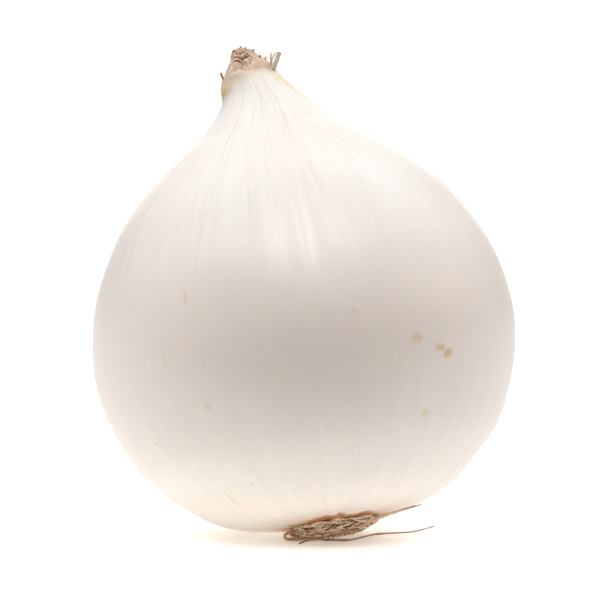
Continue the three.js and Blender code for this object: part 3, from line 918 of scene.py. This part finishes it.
def plate_points(angle, radius, height):
    """Points of the plate: a radius with slow waves round it, and a height raised by
    PLATE_TILT times the distance to the right, fully at the underside and not at the top."""
    radius = radius * (1 + wave_sum([(3, 0.025, 1), (5, 0.02, 3), (8, 0.018, 0.5)], angle))
    under = np.clip((PLATE_TOP - height) / 2, 0, 1)
    rightwards = np.maximum(0, radius * np.cos(angle) + 2)
    return around(angle, radius, height + PLATE_TILT * under * rightwards)


plate_angle = (2 * math.pi * np.arange(PLATE_COLUMNS) / PLATE_COLUMNS)[None, :]
plate_lumps = crumple(plate_angle, plate_line[:, 1:], PLATE_SEED)
plate_out = 0.22 * plate_lumps * smooth_step(plate_line[:, :1], 0.5, 4)
plate_grid = plate_points(plate_angle, plate_line[:, :1] + plate_out,
                          plate_line[:, 1:] - 0.4 * plate_out)
# painted shade and highlight: the disc's own mid brown, browner in its dips and paler on its lumps
plate_brown_and_shade = np.clip(0.5 - 0.25 * plate_lumps, 0, 1)[..., None]
root_disc = make_piece(
    "root_disc", stand(with_ends(plate_grid)), tube_faces(len(plate_line), PLATE_COLUMNS),
    root_material, "root_plate", "dry_root",
    ring=with_ends(ring_attribute(plate_angle, plate_length[:, None])),
    brown=with_ends(plate_brown_and_shade)[:, 0], dry=with_ends(np.ones_like(plate_brown_and_shade))[:, 0],
)

# %% The mat of fibres
MAT_FIBRES = 600
RIM_FIBRES = 150
MAT_STEPS = 12
MAT_REACH = 0.72  # the share of the disc's outline, from its underside up, that fibres cover
MAT_SEED = 21


def drawer(seeded, count):
    """A function that draws a column of count values between two ends."""
    return lambda low, high: seeded.uniform(low, high, (count, 1))


def mat_paths(seeded):
    """Curved fibres over the disc. A fibre starts at an angle and at a share of the way from
    the middle of the underside to the upper rim, and both change evenly along it, so it
    slants. Its distance from the disc rises in the middle and it wavers by a sine."""
    t = np.linspace(0, 1, MAT_STEPS)[None, :]
    draw = drawer(seeded, MAT_FIBRES)
    foot = draw(0.12, 1) ** 0.7
    start, sweep = draw(0, 2 * math.pi), draw(0.2, 0.75) * np.sign(draw(-1, 1))
    share = np.clip(foot * 0.93 + draw(-0.14, 0.14) * (t - 0.5), 0.02, 0.97)
    place = share * plate_length[-1] * MAT_REACH
    radius = np.interp(place, plate_length, plate_line[:, 0])
    height = np.interp(place, plate_length, plate_line[:, 1])
    lift = draw(0.0, 0.4) + 0.15 * np.sin(math.pi * t) * draw(0, 1)
    waver = draw(0.02, 0.16) * np.sin(draw(4, 11) * t + draw(0, 6))
    outward = smooth_step(radius, 3, 8.5)
    return plate_points(start + sweep * t * 6 / np.maximum(radius, 2.5),
                        radius + (lift + waver) * outward,
                        height - (lift + waver) * (1 - 0.7 * outward))


def rim_paths(seeded):
    """Pale fibres that run round the upper rim, where the plate meets the skin."""
    t = np.linspace(0, 1, MAT_STEPS)[None, :]
    draw = drawer(seeded, RIM_FIBRES)
    start, sweep = draw(0, 2 * math.pi), draw(0.15, 0.5)
    waver = draw(0.03, 0.14) * np.sin(draw(4, 11) * t + draw(0, 6))
    return plate_points(start + sweep * t, draw(8.75, 9.45) + waver, draw(-41.1, -40.5) + waver)


seeded = np.random.default_rng(MAT_SEED)
fibre_paths = np.concatenate([mat_paths(seeded), rim_paths(seeded)])
fibre_taper = np.sin(math.pi * (0.08 + 0.84 * np.linspace(0, 1, MAT_STEPS))) ** 0.5
fibre_radii = seeded.uniform(0.07, 0.22, (len(fibre_paths), 1)) * fibre_taper
fibre_tones = 1.25 * seeded.beta(1.5, 2.6, (len(fibre_paths), 1)) - 0.2 + 0 * fibre_radii
fibre_tones[MAT_FIBRES:] = 0.35 * fibre_tones[MAT_FIBRES:] - 0.15
root_mat = make_strands("root_mat", fibre_paths, fibre_radii, 6, fibre_tones,
                        root_material, "root_plate", "dry_root")

# %% Broken root ends
STUBS = 150
STUB_SEED = 31


def stub_paths(seed):
    """Short broken ends that stand out of the plate's rim and underside, spread by the
    golden angle, each a straight line with a drawn turn and a slight droop."""
    seeded = np.random.default_rng(seed)
    draw = drawer(seeded, STUBS)
    t = np.linspace(0, 1, 6)[None, :]
    number = np.arange(STUBS)[:, None]
    share = np.sqrt((number + 0.5) / STUBS)
    angle = number * math.pi * (3 - math.sqrt(5)) + draw(-0.3, 0.3)
    radius = 8.2 * share
    foot = -42.5 + 1.2 * share**4
    out = (0.3 + 1.5 * share**2) * draw(0.4, 1.2)
    down = (1.1 - 0.6 * share) * draw(0.3, 1.2)
    turned = angle + t * draw(-0.3, 0.3)
    return plate_points(turned, radius - 0.5 + (out + 0.5) * t, foot - down * t**1.5), seeded


end_paths, seeded = stub_paths(STUB_SEED)
end_radii = seeded.uniform(0.14, 0.36, (STUBS, 1)) * np.linspace(1, 0.6, 6)
end_tones = 0.8 * seeded.beta(1.8, 2.2, (STUBS, 1)) + 0.3 * np.linspace(0, 1, 6) ** 3
root_ends = make_strands("root_ends", end_paths, end_radii, 6, np.clip(end_tones, 0, 1),
                         root_material, "root_plate", "dry_root")

# %% The long loose roots
LONG_ROOTS = [
    # points right, back and up from the floor under the bulb, then as above
    ([(1.5, -10.5, 2.1), (-1.7, -12.5, 2.0), (-3.8, -13.3, 1.6), (-4, -13.9, 1),
      (-2.8, -14.2, 0.6), (5.1, -14.2, 0.5), (9.7, -13.6, 0.4), (15.3, -10.5, 1.2),
      (22.8, -9, 1.5), (27.6, -7.5, 2.5)], 0.8, 0.2, 0.42),
    ([(10, -11, 3.6), (11.2, -14.8, 2.7), (9, -16, 2.5), (6.5, -17, 1.8),
      (2.1, -17.8, 1.2), (-1.1, -18.6, 0.3)], 0.6, 0.3, 0.50),
    ([(9.5, -9.5, 3.0), (12.4, -12, 3.6), (13.8, -12.8, 4.4), (18.8, -14, 6.2),
      (21.3, -14.6, 7.1), (24.7, -15, 8.1)], 1.3, 0.3, 0.22),
]
ROOT_STEPS = 90
root_paths, root_radii, root_tones = strand_paths(LONG_ROOTS, ROOT_STEPS)
root_paths = upright(root_paths)
waves = np.linspace(0, 47, ROOT_STEPS), np.linspace(0, 19, ROOT_STEPS)
knots = 1 + 0.12 * np.sin(waves[0]) * np.sin(waves[1] + 1)
long_roots = make_strands("long_roots", root_paths, root_radii * knots, 10, root_tones,
                          root_material, "root_plate", "dry_root")

# %% [markdown]
# ## The floor and the light
#
# A white vegetable on a white table needs the light to draw it. Soft lights hang overhead,
# mostly towards the front, with weaker ones at the sides and back. The table is a sheet
# that glows round the onion, so its shadow stays faint and its base is bright. The sheet
# ends a little way in front, so the side that faces the camera is dimmer and keeps a beige
# band across the middle. It is see-through from below, for a look at the underside.
#
# The lights' strengths began as a least-squares fit to shades of the photograph. They were
# then changed, and are rounded here, in three tints.

# %% The floor
FLOOR_WHITE = (0.93, 0.93, 0.92, 1)
FLOOR_GLOW = 0.35
GLOW_FULL, GLOW_END = 0.025, 0.085
FLOOR_HALF, FLOOR_FRONT = 4.0, 0.10


def floor_material():
    """White, matt and glowing near the onion from above, transparent from below."""
    material, tree, shader = new_material("pale_floor")
    shader.inputs["Base Color"].default_value = FLOOR_WHITE
    shader.inputs["Roughness"].default_value = 0.6
    place = put(tree, "ShaderNodeTexCoord").outputs["Object"]
    away = vector_math(tree, "LENGTH", place)
    glow = rescale(tree, away, GLOW_FULL, GLOW_END, FLOOR_GLOW, 0.0)
    shader.inputs["Emission Color"].default_value = (1, 0.95, 0.89, 1)
    tree.links.new(glow, shader.inputs["Emission Strength"])
    clear = put(tree, "ShaderNodeBsdfTransparent")
    below = put(tree, "ShaderNodeNewGeometry").outputs["Backfacing"]
    either = put(tree, "ShaderNodeMixShader",
                 {0: below, 1: shader.outputs[0], 2: clear.outputs[0]})
    tree.links.new(either.outputs[0], tree.nodes["Material Output"].inputs["Surface"])
    return material


def make_floor(half, front):
    """One sheet on the plane that the onion stands on, cut off in front of it."""
    mesh = bpy.data.meshes.new("floor")
    corners = [(-half, -front, 0), (half, -front, 0), (half, half, 0), (-half, half, 0)]
    mesh.from_pydata(corners, [], [(0, 1, 2, 3)])
    mesh.materials.append(floor_material())
    floor = bpy.data.objects.new("floor", mesh)
    bpy.context.scene.collection.objects.link(floor)


make_floor(FLOOR_HALF, FLOOR_FRONT)

# %% The soft lights
WARM, NEUTRAL, COOL = (1.12, 1.0, 0.93), (1.03, 1.0, 1.08), (0.87, 1.0, 1.12)
SOFT_LIGHTS = [
    # degrees up, degrees round from the front towards the right, strength and tint
    (60, 0, 4.0, WARM),
    (60, 45, 1.4, COOL),
    (60, 135, 1.9, COOL),
    (60, -45, 1.9, COOL),
    (60, -90, 0.8, COOL),
    (60, -135, 1.0, COOL),
    (35, 90, 1.3, WARM),
    (35, 135, 0.9, NEUTRAL),
    (35, -90, 1.4, WARM),
    (35, -135, 1.0, NEUTRAL),
    (10, 180, 2.4, WARM),
]
WHITE_BEHIND = 1.2
LIGHT_FULL, LIGHT_END = math.cos(math.radians(10)), math.cos(math.radians(25))


def add_light(tree, direction, total, up, round_, strength, tint):
    """Adds one soft round light to the colour of the surroundings: full within 10 degrees
    of its direction, and smoothly down to nothing at 25 degrees."""
    up, round_ = math.radians(up), math.radians(round_)
    colour = [strength * share for share in tint]
    towards = (math.cos(up) * math.sin(round_), -math.cos(up) * math.cos(round_), math.sin(up))
    near = vector_math(tree, "DOT_PRODUCT", direction, towards)
    amount = rescale(tree, near, LIGHT_END, LIGHT_FULL)
    scaled = put(tree, "ShaderNodeVectorMath", {0: colour, 3: amount}, operation="SCALE")
    return vector_math(tree, "ADD", total, scaled.outputs[0])


def make_surroundings():
    """White to the camera, and soft lights in a dark room to everything else."""
    world = bpy.data.worlds.new("surroundings")
    bpy.context.scene.world = world
    world.use_nodes = True
    tree = world.node_tree
    direction = put(tree, "ShaderNodeTexCoord").outputs["Generated"]
    total = (0.0, 0.0, 0.0)
    for light in SOFT_LIGHTS:
        total = add_light(tree, direction, total, *light)
    room = tree.nodes["Background"]
    tree.links.new(total, room.inputs["Color"])
    white = put(tree, "ShaderNodeBackground", {"Color": (1, 1, 1, 1), "Strength": WHITE_BEHIND})
    seen = put(tree, "ShaderNodeLightPath").outputs["Is Camera Ray"]
    either = put(tree, "ShaderNodeMixShader", {0: seen, 1: room.outputs[0], 2: white.outputs[0]})
    tree.links.new(either.outputs[0], tree.nodes["World Output"].inputs["Surface"])


make_surroundings()
bpy.context.scene.view_settings.view_transform = "Standard"

# %% [markdown]
# ## The camera
#
# A long lens from a little above the table, as a product photograph is taken, keeps the
# bulb's outline round. The camera is placed by its distance and tilt from a point that
# leaves the bulb slightly below and to the right of the middle of the picture.

# %% Place the camera
CAMERA_DISTANCE = 0.9
CAMERA_TILT = math.radians(4.5)
PICTURE_WIDTH = 0.128
SENSOR = 36
AIM = Vector((-0.85 * MM, 0.59 * MM, 50.04 * MM))


def make_camera():
    """A camera at the distance and tilt from its aim, whose lens takes in the width there."""
    data = bpy.data.cameras.new("camera")
    data.sensor_width = SENSOR
    data.lens = SENSOR * CAMERA_DISTANCE / PICTURE_WIDTH
    camera = bpy.data.objects.new("camera", data)
    back = Vector((0, -math.cos(CAMERA_TILT), math.sin(CAMERA_TILT)))
    camera.location = AIM + CAMERA_DISTANCE * back
    camera.rotation_euler = (-back).to_track_quat("-Z", "Y").to_euler()
    data.clip_start, data.clip_end = 0.05, 20
    bpy.context.scene.collection.objects.link(camera)
    bpy.context.scene.camera = camera
    return camera


make_camera()
